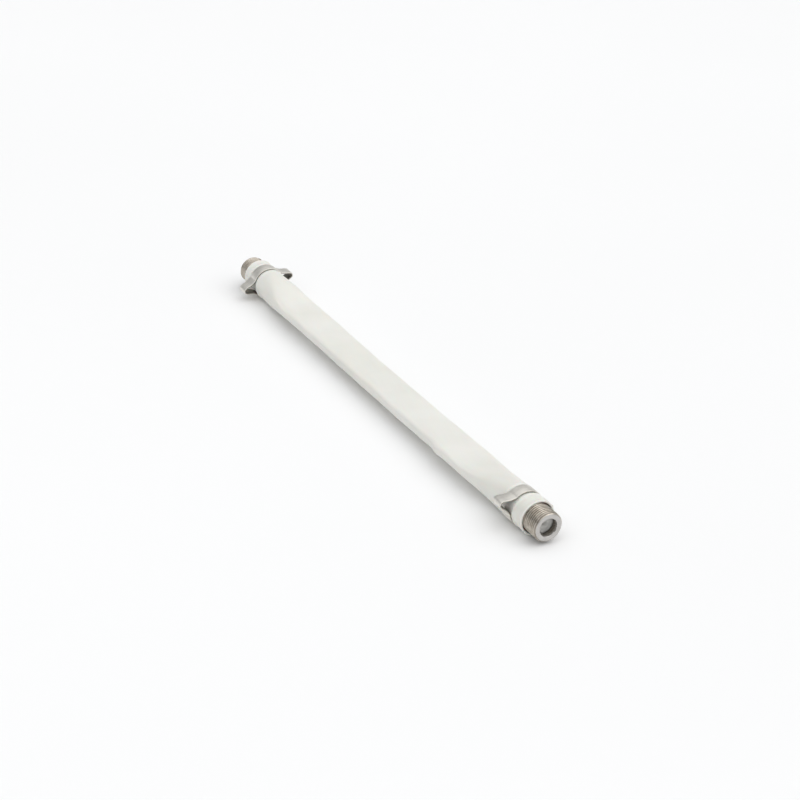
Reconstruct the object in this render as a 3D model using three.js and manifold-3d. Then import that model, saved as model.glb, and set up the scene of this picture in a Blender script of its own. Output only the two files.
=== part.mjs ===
// Flat coaxial feed-through jumper, in millimetres, +Z up.
// The cable runs along X and its flat width lies along Y. Each end is a threaded F jack (3/8-32 UNEF),
// held in a soft sleeve by a two-ear crimp clamp. The lead lies on z = 0, resting on the two clamp bands.
import * as THREE from 'three';
import Module from 'manifold-3d';

const wasm = await Module();
wasm.setup();

// ---- Overall ----
const LENGTH = 203;
const HALF_LENGTH = LENGTH / 2;
const FIT_GAP = 0.3;

// ---- Jack shell: depths are measured inwards from the jack's end face ----
const THREAD_RADIUS = 4.7625;
const THREAD_ROOT_RADIUS = 4.28;
const THREAD_PITCH = 25.4 / 32;
const THREAD_START = 0.5;
const THREAD_TURNS = 11;
const END_CHAMFER = 0.4;
const SHELL_LENGTH = 18.5;
const BARREL_RADIUS = 4.3;
const GROOVE_RADIUS = 4.05;
const MOUTH_RADIUS = 2.85;
const MOUTH_CHAMFER = 0.25;
const LIP_DEPTH = 2.3;
const CAVITY_RADIUS = 3.5;

// ---- Inside the jack ----
const INSULATOR_RADIUS = CAVITY_RADIUS - FIT_GAP;
const FRONT_INSULATOR = { from: LIP_DEPTH + FIT_GAP, hole: 4.2, to: 9.7 };
const REAR_INSULATOR = { from: 10, to: 16.6 };
const PIN_HOLE_RADIUS = 0.65;
const PIN_FUNNEL_RADIUS = 1.2;
const CONTACT_RADIUS = 1.1;
const CONTACT_BORE_RADIUS = 0.6;
const CONTACT_BORE_RADIUS_AT_MOUTH = 0.5;
const CONTACT = { from: 4.5, slotEnd: 9, boreEnd: 10.5, to: 17.5 };
const CONTACT_SLOT = 0.35;
const TAIL = { from: 17, to: 21, width: 1.6, low: -0.8, high: -0.3 };
const RETAINING_RING = { from: 16.9, to: 18.1, bore: 2.2 };
const SOLDER = { depth: 19.9, radius: 1, height: 0.7, low: 0.3 };

// ---- Ear clamp ----
const CLAMP = { a: { from: 12.2, to: 16.4 }, b: { from: 10.4, to: 14.6 } };
const STRIP_THICKNESS = 0.5;
const BAND_RADIUS = 5.8;
const BAND_FACET = THREE.MathUtils.degToRad(15);
const EAR_ROOT_ANGLE = THREE.MathUtils.degToRad(30);
const EAR_TIP = 9.5;
const EAR_ANGLES = { a: [-12.5, 160], b: [-11.5, 168.5] };
const AXIS_HEIGHT = BAND_RADIUS;

// ---- Soft sleeve ----
const SLEEVE_START = 6;
const SLEEVE_WALL = 0.65;
const SLEEVE_ROUND_RADIUS = 5.55;
const SLEEVE_SQUEEZED_RADIUS = 5.15;
const SLEEVE_SQUEEZED_WALL = 0.47;
const SQUEEZE_MARGIN = 0.2;
const SQUEEZE_RAMP = 0.8;
const SLEEVE_FLAT = { halfWidth: 6.6, halfThickness: 1.9, roundness: 4.5 };
const ROUND_END = 17.6;
const FLAT_START = 41.5;
const SLEEVE_SIDES = 24;

// ---- Flat coaxial cable inside the sleeve ----
const STRIP = { halfWidth: 0.9, halfThickness: 0.12, end: 18.9 };
const DIELECTRIC = { halfWidth: 3.2, low: 0.17, high: 0.5, end: 21.6 };
const SHIELD = { halfWidth: 3.6, low: 0.55, high: 0.67, end: 10.6 };
const SHIELD_WRAP = { radius: 4.42, thickness: 0.12, halfAngle: THREE.MathUtils.degToRad(72) };
const SHIELD_FLARE = { from: 18.8, to: 25 };
const SHIELD_STRIPS = 8;
const JACKET = { halfWidth: 5, halfThickness: 1.12, wallX: 0.5, wallZ: 0.35, roundness: 8, end: 25.5 };

const SHELL_SEGMENTS = 32;
const SMALL_SEGMENTS = 24;

// ---- Materials ----
const FINISHES = {
  nickel: { color: 0x9c958a, roughness: 0.32, metalness: 1 },
  clampSteel: { color: 0xb9b4ab, roughness: 0.4, metalness: 1 },
  sleeve: { color: 0xe9e8e2, roughness: 0.55, metalness: 0 },
  insulator: { color: 0xd9dad6, roughness: 0.5, metalness: 0 },
  contact: { color: 0xc9a95c, roughness: 0.3, metalness: 1 },
  copper: { color: 0xb87348, roughness: 0.35, metalness: 1 },
  foam: { color: 0xf2f1ec, roughness: 0.8, metalness: 0 },
  foil: { color: 0xc4c6c8, roughness: 0.35, metalness: 1 },
  jacket: { color: 0xdcdad2, roughness: 0.6, metalness: 0 },
  solder: { color: 0xa9abad, roughness: 0.35, metalness: 1 },
};

function piece(name, geometry, finish) {
  geometry.computeVertexNormals();
  const mesh = new THREE.Mesh(geometry, new THREE.MeshStandardMaterial(FINISHES[finish]));
  mesh.name = name;
  return mesh;
}

// ---- Building closed meshes ----

function signedVolume(positions, index) {
  const a = new THREE.Vector3();
  const b = new THREE.Vector3();
  const c = new THREE.Vector3();
  let sum = 0;
  for (let i = 0; i < index.length; i += 3) {
    a.fromArray(positions, 3 * index[i]);
    b.fromArray(positions, 3 * index[i + 1]);
    c.fromArray(positions, 3 * index[i + 2]);
    sum += a.dot(b.cross(c));
  }
  return sum / 6;
}

// A mesh from shared corners, with its faces turned outwards.
function closedMesh(points, triangles) {
  const positions = points.flatMap((p) => [p.x, p.y, p.z]);
  const index = triangles.flat();
  if (signedVolume(positions, index) < 0) index.reverse();
  const geometry = new THREE.BufferGeometry();
  geometry.setAttribute('position', new THREE.Float32BufferAttribute(positions, 3));
  geometry.setIndex(index);
  return geometry;
}

function quad(a, b, c, d) {
  return [[a, b, c], [a, c, d]];
}

// A hollow tube: outer and inner are lists of rings with the same number of points.
function tubeLoft(outer, inner) {
  const rows = [...outer, ...inner.toReversed()];
  const around = rows[0].length;
  const triangles = [];
  rows.forEach((row, r) => {
    const next = (r + 1) % rows.length;
    for (let j = 0; j < around; j += 1) {
      const k = (j + 1) % around;
      triangles.push(...quad(r * around + j, r * around + k, next * around + k, next * around + j));
    }
  });
  return closedMesh(rows.flat(), triangles);
}

// A solid ribbon: each station has an upper and a lower edge line, both running the same way across.
function ribbonLoft(stations) {
  const across = stations[0].upper.length;
  const around = 2 * across;
  const rows = stations.map((s) => [...s.upper, ...s.lower.toReversed()]);
  const triangles = [];
  for (let r = 0; r < rows.length - 1; r += 1) {
    for (let j = 0; j < around; j += 1) {
      const k = (j + 1) % around;
      const next = r + 1;
      triangles.push(...quad(r * around + j, r * around + k, next * around + k, next * around + j));
    }
  }
  const last = (rows.length - 1) * around;
  for (let j = 0; j < across - 1; j += 1) {
    const [a, b, c, d] = [j, j + 1, around - 2 - j, around - 1 - j];
    triangles.push(...quad(d, c, b, a));
    triangles.push(...quad(last + a, last + b, last + c, last + d));
  }
  return closedMesh(rows.flat(), triangles);
}

// Turns a closed [depth, radius] outline about the jack's axis.
function turned(outline, segments) {
  const profile = outline.map(([depth, radius]) => new THREE.Vector2(radius, HALF_LENGTH - depth));
  profile.push(profile[0].clone());
  const lathe = new THREE.LatheGeometry(profile, segments);
  lathe.rotateZ(-Math.PI / 2);
  const positions = Array.from(lathe.attributes.position.array);
  const index = Array.from(lathe.index.array);
  if (signedVolume(positions, index) < 0) index.reverse();
  const geometry = new THREE.BufferGeometry();
  geometry.setAttribute('position', new THREE.Float32BufferAttribute(positions, 3));
  geometry.setIndex(index);
  return geometry;
}

// ---- Cutting and joining ----

function toSolid(geometry) {
  const position = geometry.attributes.position;
  const places = new Map();
  const vertices = [];
  const renumber = [];
  for (let i = 0; i < position.count; i += 1) {
    const point = [position.getX(i), position.getY(i), position.getZ(i)];
    const key = point.map((value) => Math.round(value * 1e4)).join();
    if (!places.has(key)) {
      places.set(key, vertices.length / 3);
      vertices.push(...point);
    }
    renumber.push(places.get(key));
  }
  const triangles = [];
  for (let i = 0; i < geometry.index.count; i += 3) {
    const corners = [0, 1, 2].map((k) => renumber[geometry.index.getX(i + k)]);
    if (new Set(corners).size === 3) triangles.push(...corners);
  }
  const mesh = new wasm.Mesh({
    numProp: 3,
    vertProperties: new Float32Array(vertices),
    triVerts: new Uint32Array(triangles),
  });
  return new wasm.Manifold(mesh);
}

function toGeometry(solid) {
  const { vertProperties, triVerts } = solid.getMesh();
  const geometry = new THREE.BufferGeometry();
  geometry.setAttribute('position', new THREE.BufferAttribute(new Float32Array(vertProperties), 3));
  geometry.setIndex(new THREE.BufferAttribute(new Uint32Array(triVerts), 1));
  return geometry;
}

function block(from, to, low, high, width) {
  const box = new THREE.BoxGeometry(to - from, width, high - low);
  box.translate(HALF_LENGTH - (from + to) / 2, 0, (low + high) / 2);
  return box;
}

// ---- Jack pieces ----

function jackShell(clamp) {
  const outline = [[0, MOUTH_RADIUS + MOUTH_CHAMFER], [0, THREAD_RADIUS - END_CHAMFER]];
  for (let turn = 0; turn < THREAD_TURNS; turn += 1) {
    const crest = THREAD_START + turn * THREAD_PITCH;
    outline.push([crest, THREAD_RADIUS]);
    outline.push([crest + THREAD_PITCH / 2, THREAD_ROOT_RADIUS]);
  }
  const threadEnd = THREAD_START + THREAD_TURNS * THREAD_PITCH;
  outline.push([threadEnd, BARREL_RADIUS]);
  outline.push([clamp.from - 0.6, BARREL_RADIUS], [clamp.from - 0.2, GROOVE_RADIUS]);
  outline.push([clamp.to + 0.2, GROOVE_RADIUS], [clamp.to + 0.6, BARREL_RADIUS]);
  outline.push([SHELL_LENGTH, BARREL_RADIUS], [SHELL_LENGTH, CAVITY_RADIUS]);
  outline.push([LIP_DEPTH, CAVITY_RADIUS], [LIP_DEPTH, MOUTH_RADIUS], [MOUTH_CHAMFER, MOUTH_RADIUS]);
  return turned(outline, SHELL_SEGMENTS);
}

function frontInsulator() {
  const { from, hole, to } = FRONT_INSULATOR;
  return turned([
    [from, PIN_FUNNEL_RADIUS],
    [from, INSULATOR_RADIUS],
    [to, INSULATOR_RADIUS],
    [to, CONTACT_RADIUS + FIT_GAP],
    [hole, CONTACT_RADIUS + FIT_GAP],
    [hole, PIN_HOLE_RADIUS],
    [from + 0.6, PIN_HOLE_RADIUS],
  ], SMALL_SEGMENTS);
}

function rearInsulator() {
  const { from, to } = REAR_INSULATOR;
  const bore = CONTACT_RADIUS + FIT_GAP;
  return turned([[from, bore], [from, INSULATOR_RADIUS], [to, INSULATOR_RADIUS], [to, bore]], SMALL_SEGMENTS);
}

function retainingRing() {
  const { from, to, bore } = RETAINING_RING;
  return turned([[from, bore], [from, INSULATOR_RADIUS], [to, INSULATOR_RADIUS], [to, bore]], SMALL_SEGMENTS);
}

// Four spring leaves grip the plug's wire, and a flat tail takes the cable's centre strip.
function centreContact() {
  const { from, slotEnd, boreEnd, to } = CONTACT;
  const rod = turned([
    [from, CONTACT_BORE_RADIUS_AT_MOUTH],
    [from, CONTACT_RADIUS - 0.1],
    [from + 0.3, CONTACT_RADIUS],
    [to, CONTACT_RADIUS],
    [to, 0],
    [boreEnd, 0],
    [boreEnd, CONTACT_BORE_RADIUS],
    [from + 1, CONTACT_BORE_RADIUS],
  ], SMALL_SEGMENTS);
  const reach = 2 * CONTACT_RADIUS + 1;
  const upright = block(from - 1, slotEnd, -reach / 2, reach / 2, CONTACT_SLOT);
  const level = block(from - 1, slotEnd, -CONTACT_SLOT / 2, CONTACT_SLOT / 2, reach);
  const tail = block(TAIL.from, TAIL.to, TAIL.low, TAIL.high, TAIL.width);
  return toGeometry(
    toSolid(rod).subtract(toSolid(upright)).subtract(toSolid(level)).add(toSolid(tail)),
  );
}

function solderJoint() {
  const rise = 5;
  const outline = [new THREE.Vector2(0, SOLDER.low), new THREE.Vector2(SOLDER.radius, SOLDER.low)];
  for (let i = 1; i <= rise; i += 1) {
    const turn = (i / rise) * (Math.PI / 2);
    const radius = i === rise ? 0 : SOLDER.radius * Math.cos(turn);
    outline.push(new THREE.Vector2(radius, SOLDER.low + SOLDER.height * Math.sin(turn)));
  }
  const dome = new THREE.LatheGeometry(outline, 12);
  dome.rotateX(Math.PI / 2);
  dome.translate(HALF_LENGTH - SOLDER.depth, 0, 0);
  return toGeometry(toSolid(dome));
}

// The strip's middle line round the band and its two ears, as [across, up] points about the cable's axis.
// ears holds the angle of each ear, in degrees.
function clampLine(ears) {
  const middle = BAND_RADIUS - STRIP_THICKNESS / 2;
  const ear = [
    [5.7, 2.2],
    [6.5, 1.75],
    [7.5, 1.42],
    [8.5, 1.12],
    [EAR_TIP - 0.15, 0.62],
    [EAR_TIP, 0],
  ];
  const up = ear.map(([out, side]) => [out, -side]);
  const earLine = [...up, ...ear.toReversed().slice(1)];
  const line = [];
  const [first, second] = ears.map(THREE.MathUtils.degToRad);
  for (const [turn, next] of [[first, second], [second, first + 2 * Math.PI]]) {
    const place = ([out, side]) => [
      out * Math.cos(turn) - side * Math.sin(turn),
      out * Math.sin(turn) + side * Math.cos(turn),
    ];
    const root = EAR_ROOT_ANGLE;
    line.push(place([middle * Math.cos(root), -middle * Math.sin(root)]));
    line.push(...earLine.map(place));
    line.push(place([middle * Math.cos(root), middle * Math.sin(root)]));
    const clear = root + BAND_FACET / 3;
    const start = (Math.ceil((turn + clear) / BAND_FACET - 0.5) + 0.5) * BAND_FACET;
    for (let angle = start; angle < next - clear; angle += BAND_FACET) {
      const radius = middle / Math.cos(BAND_FACET / 2);
      line.push([radius * Math.cos(angle), radius * Math.sin(angle)]);
    }
  }
  return line;
}

// Both faces of the strip, half its thickness to either side of the middle line.
function stripFaces(line) {
  const half = STRIP_THICKNESS / 2;
  const outside = [];
  const inside = [];
  line.forEach((point, i) => {
    const before = new THREE.Vector2(...line.at(i - 1));
    const here = new THREE.Vector2(...point);
    const after = new THREE.Vector2(...line[(i + 1) % line.length]);
    const arriving = here.clone().sub(before).normalize();
    const leaving = after.clone().sub(here).normalize();
    const along = arriving.clone().add(leaving).normalize();
    const reach = half / along.dot(leaving);
    const normal = new THREE.Vector2(along.y, -along.x);
    outside.push(here.clone().addScaledVector(normal, reach));
    inside.push(here.clone().addScaledVector(normal, -reach));
  });
  return { outside, inside };
}

function earClamp(clamp, ears) {
  const { outside, inside } = stripFaces(clampLine(ears));
  const at = (depth) => (p) => new THREE.Vector3(HALF_LENGTH - depth, p.x, p.y);
  const { from, to } = clamp;
  return tubeLoft(
    [outside.map(at(from)), outside.map(at(to))],
    [inside.map(at(from)), inside.map(at(to))],
  );
}

// ---- Cable pieces, which run the whole way between the two jacks ----

function lerp(a, b, t) {
  return a + (b - a) * t;
}

function ring(x, halfWidth, halfThickness, roundness) {
  const points = [];
  const bend = (value) => Math.sign(value) * Math.abs(value) ** (2 / roundness);
  for (let i = 0; i < SLEEVE_SIDES; i += 1) {
    const turn = ((i + 0.5) / SLEEVE_SIDES) * 2 * Math.PI;
    points.push(new THREE.Vector3(x, halfWidth * bend(Math.cos(turn)), halfThickness * bend(Math.sin(turn))));
  }
  return points;
}

// The sleeve is round over each jack, squeezed under the clamp, and a flat oval between them.
function sleeveRings(depth, x) {
  const clamp = x > 0 ? CLAMP.a : CLAMP.b;
  const flat = THREE.MathUtils.smoothstep(depth, ROUND_END, FLAT_START);
  const near = Math.max(clamp.from - SQUEEZE_MARGIN - depth, depth - clamp.to - SQUEEZE_MARGIN);
  const squeeze = 1 - THREE.MathUtils.smoothstep(near, 0, SQUEEZE_RAMP);
  const round = lerp(SLEEVE_ROUND_RADIUS, SLEEVE_SQUEEZED_RADIUS, squeeze);
  const wall = lerp(SLEEVE_WALL, SLEEVE_SQUEEZED_WALL, squeeze);
  const halfWidth = lerp(round, SLEEVE_FLAT.halfWidth, flat);
  const halfThickness = lerp(round, SLEEVE_FLAT.halfThickness, flat);
  const roundness = lerp(2, SLEEVE_FLAT.roundness, flat);
  return {
    outer: ring(x, halfWidth, halfThickness, roundness),
    inner: ring(x, halfWidth - wall, halfThickness - wall, roundness),
  };
}

// Where the sleeve's rings lie over one end, from its mouth inwards.
function sleeveDepths(clamp) {
  const depths = [SLEEVE_START];
  for (const [edge, away] of [[clamp.from - SQUEEZE_MARGIN, -1], [clamp.to + SQUEEZE_MARGIN, 1]]) {
    const ramp = [edge, edge + (away * SQUEEZE_RAMP) / 2, edge + away * SQUEEZE_RAMP];
    depths.push(...ramp.sort((p, q) => p - q));
  }
  const steps = 7;
  for (let i = 1; i <= steps; i += 1) depths.push(lerp(ROUND_END, FLAT_START, i / steps));
  depths.push(70);
  return depths;
}

function outerSleeve() {
  const places = [
    ...sleeveDepths(CLAMP.a).map((depth) => ({ depth, x: HALF_LENGTH - depth })),
    ...sleeveDepths(CLAMP.b).toReversed().map((depth) => ({ depth, x: depth - HALF_LENGTH })),
  ];
  const rings = places.map(({ depth, x }) => sleeveRings(depth, x));
  return tubeLoft(rings.map((r) => r.outer), rings.map((r) => r.inner));
}

function cableJacket() {
  const { halfWidth, halfThickness, wallX, wallZ, roundness, end } = JACKET;
  const ends = [HALF_LENGTH - end, end - HALF_LENGTH];
  return tubeLoft(
    ends.map((x) => ring(x, halfWidth, halfThickness, roundness)),
    ends.map((x) => ring(x, halfWidth - wallX, halfThickness - wallZ, roundness)),
  );
}

function flatStrip(halfWidth, low, high, end) {
  const edge = (x, z) => [new THREE.Vector3(x, -halfWidth, z), new THREE.Vector3(x, halfWidth, z)];
  const ends = [HALF_LENGTH - end, end - HALF_LENGTH];
  return ribbonLoft(ends.map((x) => ({ upper: edge(x, high), lower: edge(x, low) })));
}

// A foil and braid strip that lies flat along the cable and spreads round each jack's barrel.
// side is 1 for the strip above the centre and -1 for the one below.
function shieldStrip(side) {
  const { from, to } = SHIELD_FLARE;
  const depths = [SHIELD.end, from];
  for (let i = 1; i <= 5; i += 1) depths.push(lerp(from, to, i / 5));
  const places = [
    ...depths.map((depth) => ({ depth, x: HALF_LENGTH - depth })),
    ...depths.toReversed().map((depth) => ({ depth, x: depth - HALF_LENGTH })),
  ];
  const line = ({ depth, x }, level, radius) => {
    const flat = THREE.MathUtils.smoothstep(depth, from, to);
    const points = [];
    for (let i = 0; i <= SHIELD_STRIPS; i += 1) {
      const across = (2 * i) / SHIELD_STRIPS - 1;
      const turn = across * SHIELD_WRAP.halfAngle;
      const y = lerp(radius * Math.sin(turn), across * SHIELD.halfWidth, flat);
      const z = lerp(radius * Math.cos(turn), level, flat);
      points.push(new THREE.Vector3(x, y, side * z));
    }
    return points;
  };
  const { radius, thickness } = SHIELD_WRAP;
  return ribbonLoft(places.map((place) => ({
    upper: line(place, SHIELD.high, radius + thickness),
    lower: line(place, SHIELD.low, radius),
  })));
}

// ---- Assembly ----

function jackEnd(letter) {
  const end = new THREE.Group();
  end.add(piece(`jack_shell_${letter}`, jackShell(CLAMP[letter]), 'nickel'));
  end.add(piece(`front_insulator_${letter}`, frontInsulator(), 'insulator'));
  end.add(piece(`centre_contact_${letter}`, centreContact(), 'contact'));
  end.add(piece(`rear_insulator_${letter}`, rearInsulator(), 'insulator'));
  end.add(piece(`retaining_ring_${letter}`, retainingRing(), 'nickel'));
  end.add(piece(`solder_joint_${letter}`, solderJoint(), 'solder'));
  end.add(piece(`ear_clamp_${letter}`, earClamp(CLAMP[letter], EAR_ANGLES[letter]), 'clampSteel'));
  return end;
}

function cable() {
  const { halfWidth, low, high, end } = DIELECTRIC;
  const lay = new THREE.Group();
  lay.add(piece('outer_sleeve', outerSleeve(), 'sleeve'));
  lay.add(piece('cable_jacket', cableJacket(), 'jacket'));
  lay.add(piece('shield_upper', shieldStrip(1), 'foil'));
  lay.add(piece('shield_lower', shieldStrip(-1), 'foil'));
  lay.add(piece('dielectric_upper', flatStrip(halfWidth, low, high, end), 'foam'));
  lay.add(piece('dielectric_lower', flatStrip(halfWidth, -high, -low, end), 'foam'));
  const half = STRIP.halfThickness;
  lay.add(piece('centre_strip', flatStrip(STRIP.halfWidth, -half, half, STRIP.end), 'copper'));
  return lay;
}

const jumper = new THREE.Group();
const endA = jackEnd('a');
const endB = jackEnd('b');
endB.rotation.z = Math.PI;
jumper.add(endA, endB, cable());
jumper.position.z = AXIS_HEIGHT;

export default jumper;
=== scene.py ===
"""Flat coaxial feed-through jumper: a flat sleeve with a threaded F jack and an ear clamp at each end."""
import math

import bpy
import numpy as np
from mathutils import Matrix, Vector


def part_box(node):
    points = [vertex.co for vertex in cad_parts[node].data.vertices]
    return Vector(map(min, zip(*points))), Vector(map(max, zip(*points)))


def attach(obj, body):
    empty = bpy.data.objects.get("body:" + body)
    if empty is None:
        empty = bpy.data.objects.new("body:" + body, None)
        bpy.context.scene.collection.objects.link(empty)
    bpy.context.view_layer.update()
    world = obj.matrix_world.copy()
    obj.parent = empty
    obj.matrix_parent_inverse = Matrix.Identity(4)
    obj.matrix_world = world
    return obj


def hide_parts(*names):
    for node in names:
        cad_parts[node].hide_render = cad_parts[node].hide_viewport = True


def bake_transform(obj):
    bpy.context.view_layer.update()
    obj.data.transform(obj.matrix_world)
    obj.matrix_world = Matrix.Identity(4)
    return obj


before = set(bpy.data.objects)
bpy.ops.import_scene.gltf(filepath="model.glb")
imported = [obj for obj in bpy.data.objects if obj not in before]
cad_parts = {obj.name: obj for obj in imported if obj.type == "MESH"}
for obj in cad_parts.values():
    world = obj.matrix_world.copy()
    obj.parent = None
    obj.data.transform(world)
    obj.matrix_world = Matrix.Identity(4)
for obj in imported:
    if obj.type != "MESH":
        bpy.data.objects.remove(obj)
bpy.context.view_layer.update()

MM = 0.001

# ---- Places, in millimetres, from the frame ----
SHELL_LOW, SHELL_HIGH = [np.array(corner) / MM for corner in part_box("jack_shell_a")]
SLEEVE_LOW, SLEEVE_HIGH = [np.array(corner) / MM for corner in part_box("outer_sleeve")]
HALF_LENGTH = SHELL_HIGH[0]
AXIS_HEIGHT = (SHELL_LOW[2] + SHELL_HIGH[2]) / 2
# the depths each clamp's band lies between
BAND = {}
for letter in "ab":
    clamp_low, clamp_high = [abs(corner[0]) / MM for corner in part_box(f"ear_clamp_{letter}")]
    BAND[letter] = sorted((HALF_LENGTH - clamp_low, HALF_LENGTH - clamp_high))
BAND_RADIUS = AXIS_HEIGHT
SLEEVE_START = HALF_LENGTH - SLEEVE_HIGH[0]

# ---- Sizes, in millimetres, which repeat the CAD source's ----
THREAD_RADIUS = 4.7625
THREAD_ROOT_RADIUS = 4.28
THREAD_PITCH = 25.4 / 32
THREAD_END = 9.2
BARREL_RADIUS = 4.3
GROOVE_RADIUS = 4.05
SHELL_LENGTH = 18.5
MOUTH_RADIUS = 2.85
LIP_DEPTH = 2.3
CAVITY_RADIUS = 3.5
STRIP_THICKNESS = 0.5
EAR_ROOT_ANGLE = math.radians(30)
EAR_TIP = 9.5
EAR_ANGLES = {"a": (-12.5, 160), "b": (-11.5, 168.5)}
SLEEVE_WALL = 0.65
SLEEVE_ROUND_RADIUS = 5.55
SLEEVE_SQUEEZED_RADIUS = 5.15
SLEEVE_SQUEEZED_WALL = 0.47
SLEEVE_FLAT_HALF_WIDTH = 6.6
SLEEVE_FLAT_HALF_THICKNESS = 1.9
SLEEVE_FLAT_ROUNDNESS = 4.5
ROUND_END = 17.6
FLAT_START = 41.5
FRONT_INSULATOR_GAP = 0.3
FRONT_INSULATOR_HOLE = 4.2
JACKET_WALL_ACROSS = 0.5
JACKET_WALL_THROUGH = 0.35
JACKET_ROUNDNESS = 8

# ---- The sleeve's softer shape, in millimetres, which the CAD leaves out ----
SAG = 0.5
SAG_STARTS, SAG_ENDS = (-60, -5), (15, 65)
SQUEEZE_MARGIN = 0.15
SQUEEZE_RAMP = 0.8
EDGE_NARROWING = 0.55
NARROWING_STARTS, NARROWING_ENDS = (-70, -20), (43, 48)
# each of these is a height, the place of its middle and its spread
CLAMP_BULGE = (0.16, 1.1, 0.55)  # from the squeezed stretch
MOUTH_LIP = (0.20, 0.2, 1.0)  # from the sleeve's mouth
NECK = (0.35, 28, 7)  # from end A's face
DIMPLE = (0.32, 36, 4.5)  # from either end's face
EDGE_KINK = (0.3, 47, 2.5)  # along X
# the angle round the sleeve of each dimple, and its share of the depth
DIMPLE_PLACES = ((140, 1.0), (40, 0.6))
DIMPLE_ANGLE_SPREAD = 20

END_BODY = {"a": "end_a", "b": "end_b"}


def smoothstep(value, low, high):
    t = np.clip((value - low) / (high - low), 0.0, 1.0)
    return t * t * (3 - 2 * t)


def lerp(a, b, t):
    return a + (b - a) * t


def hump(value, height, middle, spread):
    """The height at the middle, falling smoothly to 0 on both sides."""
    return height * np.exp(-((value - middle) / spread) ** 2)


# ---- Camera ----

def make_camera():
    azimuth, elevation, roll = math.radians(60.02), math.radians(27.02), math.radians(2.97)
    distance, aim_right, aim_up = 0.6426, 0.0061, -0.0054
    back = Vector((
        math.sin(azimuth) * math.cos(elevation),
        -math.cos(azimuth) * math.cos(elevation),
        math.sin(elevation),
    ))
    right = Vector((math.cos(azimuth), math.sin(azimuth), 0))
    up = back.cross(right)
    aim = Vector((0, 0, AXIS_HEIGHT * MM)) + right * aim_right + up * aim_up
    data = bpy.data.cameras.new("camera")
    data.sensor_width = 36
    data.lens = 88.3
    data.clip_start = 0.01
    data.clip_end = 50
    camera = bpy.data.objects.new("camera", data)
    bpy.context.scene.collection.objects.link(camera)
    turn = Matrix((right, up, back)).transposed() @ Matrix.Rotation(roll, 3, "Z")
    camera.matrix_world = Matrix.Translation(aim + back * distance) @ turn.to_4x4()
    bpy.context.scene.camera = camera


make_camera()


# ---- Meshes ----

def signed_volume(points, faces):
    a, b, c, d = (points[faces[:, k]] for k in range(4))
    first = np.einsum("ij,ij->i", a, np.cross(b, c)).sum()
    second = np.einsum("ij,ij->i", a, np.cross(c, d)).sum()
    return first + second


def grid_faces(rows, columns, wrap_rows):
    r = np.arange(rows if wrap_rows else rows - 1)
    c = np.arange(columns)
    here, there = np.meshgrid(r, c, indexing="ij")
    after = (here + 1) % rows
    beside = (there + 1) % columns
    corners = [
        here * columns + there,
        here * columns + beside,
        after * columns + beside,
        after * columns + there,
    ]
    return np.stack([corner.ravel() for corner in corners], axis=1)


def mesh_piece(name, points, faces):
    """A smooth-shaded object from points in millimetres and four-cornered faces, turned outwards."""
    faces = np.asarray(faces)
    if signed_volume(points, faces) < 0:
        faces = faces[:, ::-1]
    mesh = bpy.data.meshes.new(name)
    mesh.from_pydata((points * MM).tolist(), [], faces.tolist())
    mesh.polygons.foreach_set("use_smooth", np.ones(len(mesh.polygons), bool))
    mesh.update()
    piece = bpy.data.objects.new(name, mesh)
    bpy.context.scene.collection.objects.link(piece)
    return piece


def tube_piece(name, outer, inner):
    """A hollow tube from rings of points, all with the same number of points."""
    rows = np.concatenate([outer, inner[::-1]])
    faces = grid_faces(len(rows), rows.shape[1], True)
    return mesh_piece(name, rows.reshape(-1, 3), faces)


def ribbon_piece(name, upper, lower):
    """A solid ribbon. upper and lower are its faces, as [station, across, xyz]."""
    rows = np.concatenate([upper, lower[:, ::-1]], axis=1)
    around = rows.shape[1]
    across = upper.shape[1]
    faces = [grid_faces(len(rows), around, False)]
    j = np.arange(across - 1)
    cap = np.stack([j, j + 1, around - 2 - j, around - 1 - j], axis=1)
    faces.append(cap[:, ::-1])
    faces.append(cap + (len(rows) - 1) * around)
    return mesh_piece(name, rows.reshape(-1, 3), np.concatenate(faces))


def point_values(piece, name, values):
    """Stores one number per point, for the piece's material to read."""
    attribute = piece.data.attributes.new(name, "FLOAT", "POINT")
    attribute.data.foreach_set("value", np.asarray(values, np.float32).ravel())


def at_end(points, letter):
    """Points measured at end A, put where they are on the end with this letter."""
    if letter == "b":
        points = points * np.array([-1.0, -1.0, 1.0])
    return points + np.array([0, 0, AXIS_HEIGHT])


# ---- Materials ----

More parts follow.
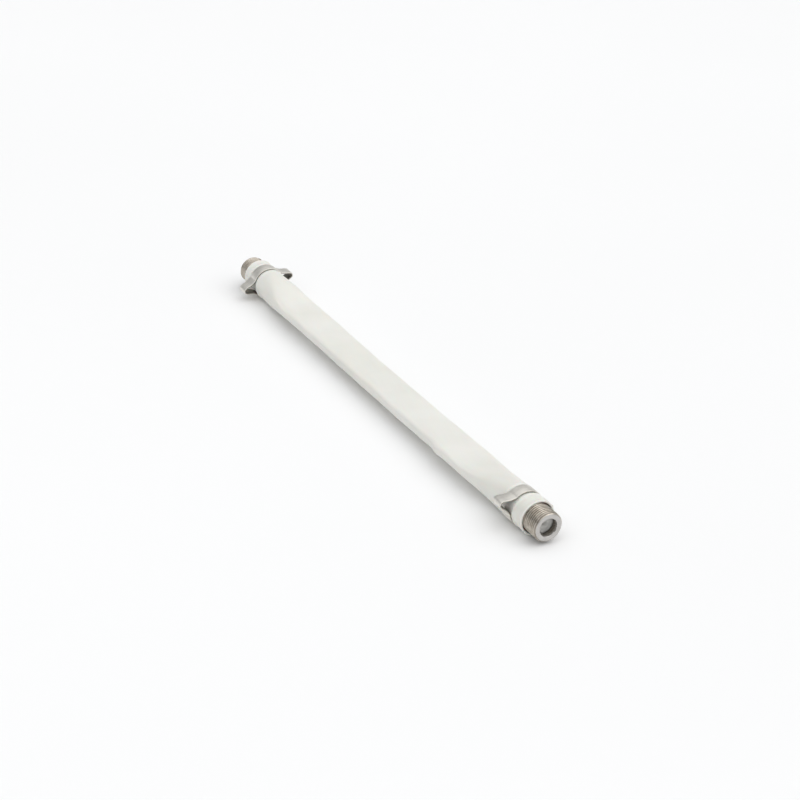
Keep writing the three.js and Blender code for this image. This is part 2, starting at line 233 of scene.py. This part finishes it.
class Nodes:
    """A material's node tree, built one node at a time."""

    def __init__(self, name):
        self.material = bpy.data.materials.new(name)
        self.material.use_nodes = True
        self.tree = self.material.node_tree
        self.shader = self.tree.nodes["Principled BSDF"]

    def add(self, kind, links=None, **settings):
        node = self.tree.nodes.new(kind)
        for key, value in settings.items():
            if key in node.inputs:
                node.inputs[key].default_value = value
            else:
                setattr(node, key, value)
        for socket, source in (links or {}).items():
            self.tree.links.new(source, node.inputs[socket])
        return node

    def place(self, stretch=(1, 1, 1)):
        coordinates = self.add("ShaderNodeTexCoord").outputs["Object"]
        return self.add("ShaderNodeMapping", {"Vector": coordinates}, Scale=stretch).outputs["Vector"]

    def noise(self, scale, detail=3.0, stretch=(1, 1, 1), roughness=0.5):
        node = self.add("ShaderNodeTexNoise", {"Vector": self.place(stretch)})
        node.inputs["Scale"].default_value = scale
        node.inputs["Detail"].default_value = detail
        node.inputs["Roughness"].default_value = roughness
        return node.outputs["Fac"]

    def values(self, name):
        return self.add("ShaderNodeAttribute", attribute_name=name).outputs["Fac"]

    def ramp(self, factor, *stops):
        """A colour ramp: stops are (place, colour)."""
        node = self.add("ShaderNodeValToRGB", {"Fac": factor})
        ramp = node.color_ramp
        while len(ramp.elements) < len(stops):
            ramp.elements.new(0.5)
        for element, (place, colour) in zip(ramp.elements, stops):
            element.position = place
            element.color = (*colour, 1)
        return node.outputs["Color"]

    def span(self, factor, low, high, start=0.0, end=1.0):
        """factor from start to end becomes a value from low to high."""
        node = self.add("ShaderNodeMapRange", {"Value": factor})
        node.inputs["From Min"].default_value = start
        node.inputs["From Max"].default_value = end
        node.inputs["To Min"].default_value = low
        node.inputs["To Max"].default_value = high
        return node.outputs["Result"]

    def mix(self, factor, a, b, kind="MIX"):
        node = self.add("ShaderNodeMix", data_type="RGBA", blend_type=kind)
        if isinstance(factor, float):
            node.inputs[0].default_value = factor
        else:
            self.tree.links.new(factor, node.inputs[0])
        for socket, value in ((node.inputs[6], a), (node.inputs[7], b)):
            if isinstance(value, tuple):
                socket.default_value = (*value, 1)
            else:
                self.tree.links.new(value, socket)
        return node.outputs[2]

    def bump(self, height, distance, strength=1.0, normal=None):
        node = self.add("ShaderNodeBump", {"Height": height})
        node.inputs["Distance"].default_value = distance
        node.inputs["Strength"].default_value = strength
        if normal is not None:
            self.tree.links.new(normal, node.inputs["Normal"])
        return node.outputs["Normal"]

    def finish(self, **inputs):
        for key, value in inputs.items():
            socket = self.shader.inputs[key.replace("_", " ")]
            if isinstance(value, bpy.types.NodeSocket):
                self.tree.links.new(value, socket)
            else:
                socket.default_value = value
        return self.material


def nickel_material():
    """Nickel plate on turned brass: bright faces, and a warmer, worn thread, with painted shade in its
    roots and down the bore.
    """
    n = Nodes("nickel_plate")
    blotches = n.noise(320, 4)
    lines = n.noise(900, 2, stretch=(14, 1, 1))
    plate = n.ramp(blotches, (0.3, (0.47, 0.455, 0.435)), (0.7, (0.58, 0.565, 0.545)))
    worn = n.ramp(n.noise(700, 4), (0.35, (0.45, 0.405, 0.34)), (0.65, (0.66, 0.61, 0.54)))
    # painted shade: the thread's roots and the bore wall fall towards a near-black colour
    thread = n.mix(n.values("lit_crest"), (0.14, 0.12, 0.10), worn)
    colour = n.mix(n.values("face"), thread, plate)
    rough = n.span(blotches, 0.20, 0.40, 0.3, 0.7)
    normal = n.bump(lines, 0.00002, 0.35)
    return n.finish(Base_Color=colour, Metallic=1.0, Roughness=rough, Normal=normal)


def clamp_material():
    """Pale rolled strip, brushed along its length, with painted shade on the face towards the sleeve."""
    n = Nodes("clamp_steel")
    streaks = n.noise(260, 5, stretch=(9, 1, 1), roughness=0.65)
    blotches = n.noise(140, 3)
    bright = n.ramp(streaks, (0.3, (0.74, 0.715, 0.66)), (0.7, (0.88, 0.86, 0.805)))
    inner_shade = n.ramp(blotches, (0.3, (0.22, 0.205, 0.18)), (0.7, (0.34, 0.32, 0.285)))
    # painted shade: the strip's inner face, towards the sleeve and inside the ears, is darkened
    colour = n.mix(n.values("inner"), bright, inner_shade)
    rough = n.span(blotches, 0.42, 0.60, 0.3, 0.7)
    normal = n.bump(streaks, 0.00003, 0.4)
    return n.finish(Base_Color=colour, Metallic=1.0, Roughness=rough, Normal=normal)


def sleeve_material():
    """Soft off-white vinyl: satin, faintly mottled and finely grained."""
    n = Nodes("sleeve_vinyl")
    mottle = n.noise(60, 4)
    grain = n.noise(1700, 3)
    soft = n.noise(160, 2)
    colour = n.ramp(mottle, (0.3, (0.765, 0.755, 0.70)), (0.7, (0.81, 0.80, 0.755)))
    rough = n.span(soft, 0.42, 0.56, 0.3, 0.7)
    normal = n.bump(grain, 0.00002, 0.25, n.bump(soft, 0.00012, 0.25))
    material = n.finish(Base_Color=colour, Roughness=rough, Normal=normal)
    n.shader.inputs["Subsurface Weight"].default_value = 0.12
    n.shader.inputs["Subsurface Scale"].default_value = 0.0012
    return material


def plastic_material(name, dark, pale, rough, scale=500):
    n = Nodes(name)
    mottle = n.noise(scale, 3)
    colour = n.ramp(mottle, (0.3, dark), (0.7, pale))
    normal = n.bump(n.noise(scale * 4, 2), 0.00002, 0.3)
    return n.finish(Base_Color=colour, Roughness=n.span(mottle, rough - 0.06, rough + 0.06), Normal=normal)


def metal_material(name, dark, pale, rough, stretch=(1, 1, 1), scale=500):
    n = Nodes(name)
    streaks = n.noise(scale, 4, stretch=stretch)
    colour = n.ramp(streaks, (0.3, dark), (0.7, pale))
    normal = n.bump(streaks, 0.00002, 0.4)
    rough = n.span(streaks, rough - 0.08, rough + 0.08, 0.3, 0.7)
    return n.finish(Base_Color=colour, Metallic=1.0, Roughness=rough, Normal=normal)


def foil_material():
    """Foil under a woven braid, drawn as two crossing sets of fine diagonal strands."""
    n = Nodes("shield_foil")
    heights = []
    for slant in (1, -1):
        wave = n.add("ShaderNodeTexWave", {"Vector": n.place((1, slant, 0))}, bands_direction="DIAGONAL")
        wave.inputs["Scale"].default_value = 500
        wave.inputs["Distortion"].default_value = 0.4
        heights.append(wave.outputs["Fac"])
    weave = n.mix(1.0, heights[0], heights[1], "MULTIPLY")
    colour = n.ramp(weave, (0.1, (0.38, 0.38, 0.39)), (0.8, (0.76, 0.77, 0.78)))
    return n.finish(Base_Color=colour, Metallic=1.0, Roughness=0.38, Normal=n.bump(weave, 0.00004, 0.6))


NICKEL = nickel_material()
CLAMP_STEEL = clamp_material()
SLEEVE_VINYL = sleeve_material()
INSULATOR = plastic_material("insulator", (0.56, 0.555, 0.535), (0.70, 0.695, 0.67), 0.42)
JACKET = plastic_material("cable_jacket", (0.72, 0.71, 0.66), (0.80, 0.79, 0.75), 0.6)
FOAM = plastic_material("dielectric", (0.84, 0.84, 0.80), (0.93, 0.93, 0.90), 0.75, 1500)
COPPER = metal_material("copper", (0.62, 0.33, 0.19), (0.80, 0.50, 0.33), 0.32, (0.15, 1, 1))
CONTACT = metal_material("contact", (0.60, 0.47, 0.24), (0.78, 0.66, 0.40), 0.28, (0.3, 1, 1))
RING_METAL = metal_material("ring_nickel", (0.47, 0.455, 0.435), (0.58, 0.565, 0.545), 0.3)
SOLDER = metal_material("solder", (0.50, 0.51, 0.52), (0.68, 0.69, 0.70), 0.34)
FOIL = foil_material()


def paint(piece, material):
    piece.data.materials.clear()
    piece.data.materials.append(material)


# ---- Soft sleeve ----

def sag(x):
    """How far the lead hangs below its line, under its own weight between the two clamps."""
    return -SAG * smoothstep(x, *SAG_STARTS) * (1 - smoothstep(x, *SAG_ENDS))


def sleeve_profile(x):
    """Half width, half thickness, roundness and wall at a place along the lead."""
    depth = HALF_LENGTH - abs(x)
    band_from, band_to = BAND["a" if x > 0 else "b"]
    flat = smoothstep(depth, ROUND_END, FLAT_START)
    outside = np.maximum(band_from - SQUEEZE_MARGIN - depth, depth - band_to - SQUEEZE_MARGIN)
    squeeze = 1 - smoothstep(outside, 0, SQUEEZE_RAMP)
    swelling = hump(outside, *CLAMP_BULGE) + hump(depth - SLEEVE_START, *MOUTH_LIP)
    round_radius = lerp(SLEEVE_ROUND_RADIUS, SLEEVE_SQUEEZED_RADIUS, squeeze) + swelling * (1 - flat)
    wall = lerp(SLEEVE_WALL, SLEEVE_SQUEEZED_WALL, squeeze)
    half_width = lerp(round_radius, SLEEVE_FLAT_HALF_WIDTH, flat)
    half_thickness = lerp(round_radius, SLEEVE_FLAT_HALF_THICKNESS, flat)
    return half_width, half_thickness, lerp(2.0, SLEEVE_FLAT_ROUNDNESS, flat), wall


def sleeve_ring(x, inset, sides):
    """One ring of the sleeve. inset is 0 on its outside and 1 on its inside."""
    depth = HALF_LENGTH - abs(x)
    half_width, half_thickness, roundness, wall = sleeve_profile(x)
    flat = smoothstep(depth, ROUND_END, FLAT_START)
    if x > 0:
        neck = hump(depth, *NECK)
        half_width, half_thickness = half_width - neck, half_thickness - neck
    turn = (np.arange(sides) + 0.5) / sides * 2 * math.pi
    cosine, sine = np.cos(turn), np.sin(turn)
    y = np.sign(cosine) * np.abs(cosine) ** (2 / roundness)
    z = np.sign(sine) * np.abs(sine) ** (2 / roundness)
    narrow = EDGE_NARROWING * (1 - smoothstep(x, *NARROWING_ENDS)) * smoothstep(x, *NARROWING_STARTS)
    narrow -= hump(x, *EDGE_KINK)
    edge = np.clip(-y, 0, 1) ** 2
    y = y * (half_width - wall * inset) + edge * narrow * flat
    z = z * (half_thickness - wall * inset)
    dimple = hump(depth, *DIMPLE)
    for middle, share in DIMPLE_PLACES:
        dent = hump(np.degrees(turn), dimple * share, middle, DIMPLE_ANGLE_SPREAD)
        y, z = y - dent * cosine, z - dent * sine
    # two faint waves along the flat part
    ripple = 0.05 * flat * np.sin(x * 0.31 + 1.3 * y) + 0.04 * flat * np.sin(x * 0.13 + 0.7)
    return np.stack([np.full(sides, x), y, z + AXIS_HEIGHT + sag(x) + ripple], axis=1)


def sleeve_stations():
    """Places along the sleeve from end A to end B, closer together over the jacks."""
    fine = np.arange(SLEEVE_START, ROUND_END - 0.1, 0.2)
    middle = np.arange(ROUND_END, FLAT_START + 6, 0.6)
    coarse = np.linspace(FLAT_START + 6, HALF_LENGTH, 50)
    depths = np.concatenate([fine, middle, coarse])
    return np.concatenate([HALF_LENGTH - depths, (depths - HALF_LENGTH)[-2::-1]])


def outer_sleeve():
    sides = 112
    stations = sleeve_stations()
    outer = [sleeve_ring(x, 0.0, sides) for x in stations]
    inner = [sleeve_ring(x, 1.0, sides) for x in stations]
    # each open end is rounded: the last rings step in towards the middle of the wall
    for end, sign in ((0, 1), (-1, -1)):
        x = stations[end]
        outer[end] = sleeve_ring(x, 0.28, sides)
        inner[end] = sleeve_ring(x, 0.72, sides)
        for ring, inset in ((outer, 0.09), (inner, 0.91)):
            nearly = sleeve_ring(x, inset, sides) - np.array([0.06 * sign, 0, 0])
            ring.insert(1 if end == 0 else len(ring) - 1, nearly)
    piece = tube_piece("sleeve", np.array(outer), np.array(inner))
    paint(piece, SLEEVE_VINYL)
    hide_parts("outer_sleeve")
    return piece


def bends(piece):
    """Bakes the piece's placement into its points. It does not bend the piece."""
    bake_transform(piece)


sleeve = outer_sleeve()


# ---- Flat cable inside the sleeve ----

CABLE_STEPS = 120


def rounded_ring(x, half_width, half_thickness, roundness, sides):
    turn = (np.arange(sides) + 0.5) / sides * 2 * math.pi
    cosine, sine = np.cos(turn), np.sin(turn)
    y = half_width * np.sign(cosine) * np.abs(cosine) ** (2 / roundness)
    z = half_thickness * np.sign(sine) * np.abs(sine) ** (2 / roundness)
    return np.stack([np.full(sides, x), y, z + AXIS_HEIGHT + sag(x)], axis=1)


def cable_jacket():
    low, high = [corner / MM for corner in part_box("cable_jacket")]
    half_width = (high[1] - low[1]) / 2
    half_thickness = (high[2] - low[2]) / 2
    stations = np.linspace(high[0], low[0], CABLE_STEPS)
    sizes = [
        (half_width, half_thickness),
        (half_width - JACKET_WALL_ACROSS, half_thickness - JACKET_WALL_THROUGH),
    ]
    outer, inner = (
        np.array([rounded_ring(x, width, thickness, JACKET_ROUNDNESS, 40) for x in stations])
        for width, thickness in sizes
    )
    piece = tube_piece("jacket", outer, inner)
    paint(piece, JACKET)
    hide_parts("cable_jacket")
    bends(piece)


def flat_tape(name, node, material, across=9):
    low, high = [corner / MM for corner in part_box(node)]
    stations = np.linspace(high[0], low[0], CABLE_STEPS)
    widths = np.linspace(low[1], high[1], across)
    faces = []
    for level in (high[2], low[2]):
        grid = np.array([[(x, y, level + sag(x)) for y in widths] for x in stations])
        faces.append(grid)
    piece = ribbon_piece(name, faces[0], faces[1])
    paint(piece, material)
    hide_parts(node)
    bends(piece)


SHIELD_WRAP_RADIUS = 4.42
SHIELD_THICKNESS = 0.12
SHIELD_WRAP_ANGLE = math.radians(72)
SHIELD_FLARE = (18.8, 25)
SHIELD_HALF_WIDTH = 3.6
SHIELD_LEVEL = 0.55


def shield_strip(name, node, side):
    """A foil and braid strip: flat along the cable, and spread round each jack's barrel."""
    low, high = [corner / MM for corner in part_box(node)]
    stations = np.linspace(high[0], low[0], 2 * CABLE_STEPS)
    share = np.linspace(-1, 1, 33)

    def face(thickness):
        rows = []
        for x in stations:
            flat = smoothstep(HALF_LENGTH - abs(x), *SHIELD_FLARE)
            turn = share * SHIELD_WRAP_ANGLE
            radius = SHIELD_WRAP_RADIUS + thickness
            y = lerp(radius * np.sin(turn), share * SHIELD_HALF_WIDTH, flat)
            z = lerp(radius * np.cos(turn), SHIELD_LEVEL + thickness, flat)
            rows.append(np.stack([np.full(len(y), x), y, side * z + AXIS_HEIGHT + sag(x)], axis=1))
        return np.array(rows)

    piece = ribbon_piece(name, face(SHIELD_THICKNESS), face(0))
    paint(piece, FOIL)
    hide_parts(node)
    bends(piece)


cable_jacket()
shield_strip("shield_top", "shield_upper", 1)
shield_strip("shield_bottom", "shield_lower", -1)
flat_tape("dielectric_top", "dielectric_upper", FOAM)
flat_tape("dielectric_bottom", "dielectric_lower", FOAM)
flat_tape("centre_conductor", "centre_strip", COPPER, 5)


# ---- Jack shells ----

def thread_height(depth, turn):
    """0 at the thread's root and 1 at its crest, both cut off flat. The thread is right-handed."""
    phase = (-depth / THREAD_PITCH - turn / (2 * math.pi)) % 1.0
    slope = 1 - np.abs(2 * phase - 1)
    return np.clip((slope - 0.10) / 0.72, 0, 1)


def jack_outline(letter):
    """The shell's outline as (depth, radius), outside then bore. It has no radius over the thread."""
    band_from, band_to = BAND[letter]
    outside = [(0.0, 3.95), (0.0, 4.22), (0.05, 4.32)]
    outside += [(depth, None) for depth in np.arange(0.14, THREAD_END, THREAD_PITCH / 9)]
    outside += [(THREAD_END + 0.1, BARREL_RADIUS)]
    outside += [(band_from - 0.6, BARREL_RADIUS), (band_from - 0.2, GROOVE_RADIUS)]
    outside += [(band_to + 0.2, GROOVE_RADIUS), (band_to + 0.6, BARREL_RADIUS)]
    outside += [(SHELL_LENGTH - 0.2, BARREL_RADIUS)]
    outside += [(SHELL_LENGTH, BARREL_RADIUS - 0.2), (SHELL_LENGTH, CAVITY_RADIUS + 0.1)]
    inside = [(SHELL_LENGTH - 0.1, CAVITY_RADIUS), (LIP_DEPTH + 0.05, CAVITY_RADIUS)]
    inside += [(LIP_DEPTH, CAVITY_RADIUS - 0.05), (LIP_DEPTH, MOUTH_RADIUS + 0.08)]
    inside += [(LIP_DEPTH - 0.08, MOUTH_RADIUS), (1.2, MOUTH_RADIUS), (0.30, MOUTH_RADIUS)]
    inside += [(0.10, MOUTH_RADIUS + 0.07), (0.02, MOUTH_RADIUS + 0.20), (0.0, MOUTH_RADIUS + 0.32)]
    return outside + inside


def jack_body(letter):
    sides = 120
    turn = np.arange(sides) / sides * 2 * math.pi
    rows, lit_crests, faces_seen = [], [], []
    for depth, radius in jack_outline(letter):
        in_bore = radius is not None and radius < CAVITY_RADIUS + 0.05 and depth > 0.3
        # painted shade: the bore's wall gets a low value, so its material paints it darker
        lit_crest = np.full(sides, 0.25 if in_bore else 1.0)
        faces_seen.append(np.full(sides, 0.0 if radius is None or in_bore else 1.0))
        if radius is None:
            lit_crest = thread_height(depth, turn) * (1 - smoothstep(depth, THREAD_END - 0.5, THREAD_END))
            # the chamfer that leads onto the thread
            chamfer = THREAD_ROOT_RADIUS + 0.04 + max(depth - 0.05, 0) * 1.1
            radius = lerp(THREAD_ROOT_RADIUS, THREAD_RADIUS, lit_crest)
            radius = np.minimum(radius, chamfer)
        else:
            radius = np.full(sides, float(radius))
        x = np.full(sides, HALF_LENGTH - depth)
        rows.append(np.stack([x, radius * np.cos(turn), radius * np.sin(turn)], axis=1))
        lit_crests.append(lit_crest)
    points = at_end(np.array(rows).reshape(-1, 3), letter)
    faces = grid_faces(len(rows), sides, True)
    piece = mesh_piece(f"jack_{letter}", points, faces)
    # this value paints shade into the thread's roots and the bore
    point_values(piece, "lit_crest", np.array(lit_crests))
    point_values(piece, "face", np.array(faces_seen))
    paint(piece, NICKEL)
    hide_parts(f"jack_shell_{letter}")
    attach(piece, END_BODY[letter])
    return piece


# ---- Front insulators ----

def insulator_face(letter):
    """The moulded disc down in the jack's mouth, with a funnel to the contact."""
    low, high = [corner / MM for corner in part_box(f"front_insulator_{letter}")]
    front = LIP_DEPTH + FRONT_INSULATOR_GAP
    back = front + high[0] - low[0]
    radius = (high[2] - low[2]) / 2
    outline = [(front + 0.12, 2.35), (front + 0.02, 2.50), (front, 2.62), (front, radius - 0.1)]
    outline += [(front + 0.1, radius), (back - 0.1, radius), (back, radius - 0.1), (back, 1.45)]
    outline += [(FRONT_INSULATOR_HOLE, 1.4), (FRONT_INSULATOR_HOLE, 0.70)]
    outline += [(FRONT_INSULATOR_HOLE - 0.05, 0.65), (front + 0.75, 0.65), (front + 0.66, 0.70)]
    outline += [(front + 0.18, 1.16), (front + 0.12, 1.28), (front + 0.12, 1.8)]
    sides = 72
    turn = np.arange(sides) / sides * 2 * math.pi
    rows = []
    for depth, ring_radius in outline:
        x = np.full(sides, HALF_LENGTH - depth)
        rows.append(np.stack([x, ring_radius * np.cos(turn), ring_radius * np.sin(turn)], axis=1))
    points = at_end(np.array(rows).reshape(-1, 3), letter)
    piece = mesh_piece(f"insulator_{letter}", points, grid_faces(len(rows), sides, True))
    paint(piece, INSULATOR)
    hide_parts(f"front_insulator_{letter}")
    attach(piece, END_BODY[letter])
    return piece


# ---- Ear clamps ----

def smooth_closed(points, steps):
    """A closed curve through the points, with steps places between each two."""
    points = np.asarray(points)
    before, here = np.roll(points, 1, axis=0), points
    after, later = np.roll(points, -1, axis=0), np.roll(points, -2, axis=0)
    curve = []
    for t in np.arange(steps) / steps:
        curve.append(0.5 * (
            2 * here + (after - before) * t
            + (2 * before - 5 * here + 4 * after - later) * t ** 2
            + (3 * here - before - 3 * after + later) * t ** 3
        ))
    return np.stack(curve, axis=1).reshape(-1, 2)


def clamp_line(ears):
    """The strip's middle line round the band and its two ears, whose angles are in degrees."""
    middle = BAND_RADIUS - STRIP_THICKNESS / 2
    ear = [(5.7, 2.2), (6.5, 1.75), (7.5, 1.42), (8.5, 1.12), (EAR_TIP - 0.15, 0.62), (EAR_TIP, 0)]
    ear = [(out, -side) for out, side in ear] + ear[-2::-1]
    line = []
    first, second = (math.radians(ear_angle) for ear_angle in ears)
    for turn, following in ((first, second), (second, first + 2 * math.pi)):
        def place(out, side, turn=turn):
            return (
                out * math.cos(turn) - side * math.sin(turn),
                out * math.sin(turn) + side * math.cos(turn),
            )
        roots = (-EAR_ROOT_ANGLE - 0.12, -EAR_ROOT_ANGLE)
        start = [(middle * math.cos(a), middle * math.sin(a)) for a in roots]
        line += [place(*p) for p in start]
        line += [place(*p) for p in ear]
        for angle in np.linspace(EAR_ROOT_ANGLE, following - turn - EAR_ROOT_ANGLE - 0.24, 14):
            line.append(place(middle * math.cos(angle), middle * math.sin(angle)))
    return smooth_closed(line, 8)


def ear_clamp(letter):
    line = clamp_line(EAR_ANGLES[letter])
    band_from, band_to = BAND[letter]
    along = np.roll(line, -1, axis=0) - np.roll(line, 1, axis=0)
    along /= np.linalg.norm(along, axis=1)[:, None]
    normal = np.stack([along[:, 1], -along[:, 0]], axis=1)
    half = STRIP_THICKNESS / 2
    bevel = 0.09
    # the strip's section with rounded corners, as (depth, height over the middle line)
    section = []
    corners = [(band_to - bevel, half - bevel), (band_from + bevel, half - bevel)]
    corners += [(band_from + bevel, bevel - half), (band_to - bevel, bevel - half)]
    for k, (depth, height) in enumerate(corners):
        for step in range(4):
            angle = math.radians(90 * k + 30 * step)
            section.append((depth + bevel * math.cos(angle), height + bevel * math.sin(angle)))
    rows = []
    for depth, height in section:
        flat = line + normal * height
        rows.append(np.stack([np.full(len(flat), HALF_LENGTH - depth), flat[:, 0], flat[:, 1]], axis=1))
    points = at_end(np.array(rows).reshape(-1, 3), letter)
    piece = mesh_piece(f"clamp_{letter}", points, grid_faces(len(rows), len(line), True))
    # marks the strip's inner face, which its material paints darker as shade
    point_values(piece, "inner", [[1.0 if height < -0.1 else 0.0] * len(line) for depth, height in section])
    paint(piece, CLAMP_STEEL)
    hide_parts(f"ear_clamp_{letter}")
    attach(piece, END_BODY[letter])
    return piece


end_pieces = {}
for letter in "ab":
    end_pieces[letter] = [jack_body(letter), insulator_face(letter), ear_clamp(letter)]
    for node, material in (
        (f"centre_contact_{letter}", CONTACT),
        (f"rear_insulator_{letter}", INSULATOR),
        (f"retaining_ring_{letter}", RING_METAL),
        (f"solder_joint_{letter}", SOLDER),
    ):
        paint(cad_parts[node], material)
        end_pieces[letter].append(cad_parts[node])


# ---- The sleeve's placement is baked into its points ----

bends(sleeve)


# ---- Floor and light ----

def make_floor():
    half = 4.0
    mesh = bpy.data.meshes.new("floor")
    corners = [(-half, -half, 0), (half, -half, 0), (half, half, 0), (-half, half, 0)]
    mesh.from_pydata(corners, [], [(0, 1, 2, 3)])
    floor = bpy.data.objects.new("floor", mesh)
    bpy.context.scene.collection.objects.link(floor)
    n = Nodes("floor")
    colour = n.ramp(n.noise(3, 2), (0.3, (0.905, 0.905, 0.905)), (0.7, (0.92, 0.92, 0.92)))
    paint(floor, n.finish(Base_Color=colour, Roughness=0.8))


def sun(name, azimuth, elevation, strength, spread, colour=(1, 1, 1)):
    """A soft light, the same everywhere. spread is how wide it looks, in degrees."""
    data = bpy.data.lights.new(name, "SUN")
    data.energy = strength
    data.angle = math.radians(spread)
    data.color = colour
    lamp = bpy.data.objects.new(name, data)
    a, e = math.radians(azimuth), math.radians(elevation)
    source = Vector((math.sin(a) * math.cos(e), -math.cos(a) * math.cos(e), math.sin(e)))
    lamp.rotation_mode = "QUATERNION"
    lamp.rotation_quaternion = source.to_track_quat("Z", "Y")
    bpy.context.scene.collection.objects.link(lamp)


def make_world():
    world = bpy.data.worlds.new("studio")
    world.use_nodes = True
    tree = world.node_tree
    direction = tree.nodes.new("ShaderNodeTexCoord")
    parts = tree.nodes.new("ShaderNodeSeparateXYZ")
    level = tree.nodes.new("ShaderNodeMapRange")
    level.inputs["From Max"].default_value = 0.30
    level.inputs["To Min"].default_value = 0.85
    level.inputs["To Max"].default_value = 0.28
    background = tree.nodes["Background"]
    background.inputs["Color"].default_value = (0.97, 0.985, 1.0, 1)
    tree.links.new(direction.outputs["Generated"], parts.inputs["Vector"])
    tree.links.new(parts.outputs["Z"], level.inputs["Value"])
    tree.links.new(level.outputs["Result"], background.inputs["Strength"])
    bpy.context.scene.world = world


make_floor()
sun("overhead", 110, 80, 1.35, 110)
sun("key", 150, 58, 0.95, 75)
sun("fill", 20, 50, 0.45, 60)
make_world()
bpy.context.scene.view_settings.view_transform = "Standard"
